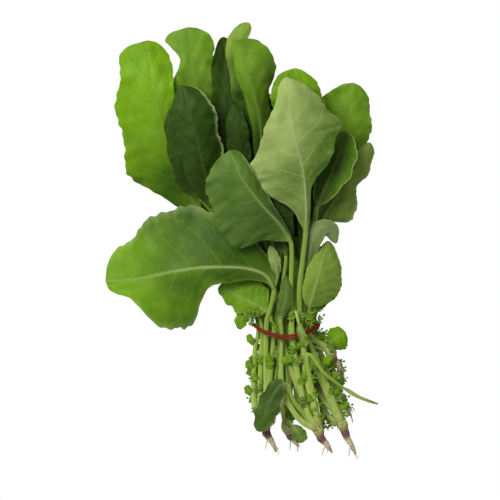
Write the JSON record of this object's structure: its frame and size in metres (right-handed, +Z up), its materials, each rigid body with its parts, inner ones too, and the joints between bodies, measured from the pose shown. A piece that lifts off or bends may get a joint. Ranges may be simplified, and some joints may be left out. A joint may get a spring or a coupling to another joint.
{
  "type": "arugula bunch",
  "caption": "Bunch of fresh arugula with roots lying on its back, its stalks held by a doubled red rubber band, broad leaves fanned out on one side",
  "frame": {"origin": "on the flat underside of the rubber band, at the middle of the stalks' width", "axes": "the bunch lies along Y with leaf tips towards +Y and roots towards -Y, X runs across it, Z is up"},
  "size_m": [0.1696, 0.2705, 0.0616],
  "materials": {
    "greens": null,
    "roots": null,
    "rubber": "red satin rubber"
  },
  "bodies": {
    "root": {"plant_left_front": "greens", "plant_centre_front": "greens", "plant_right_front": "greens", "plant_centre": "greens", "plant_right_side": "greens", "plant_left_back": "greens", "plant_right_back": "greens", "root_left_front": "roots", "root_centre_front": "roots", "root_right_front": "roots", "root_centre": "roots", "root_right_side": "roots", "root_left_back": "roots", "root_right_back": "roots", "rubber_band": "rubber"}
  },
  "joints": []
}
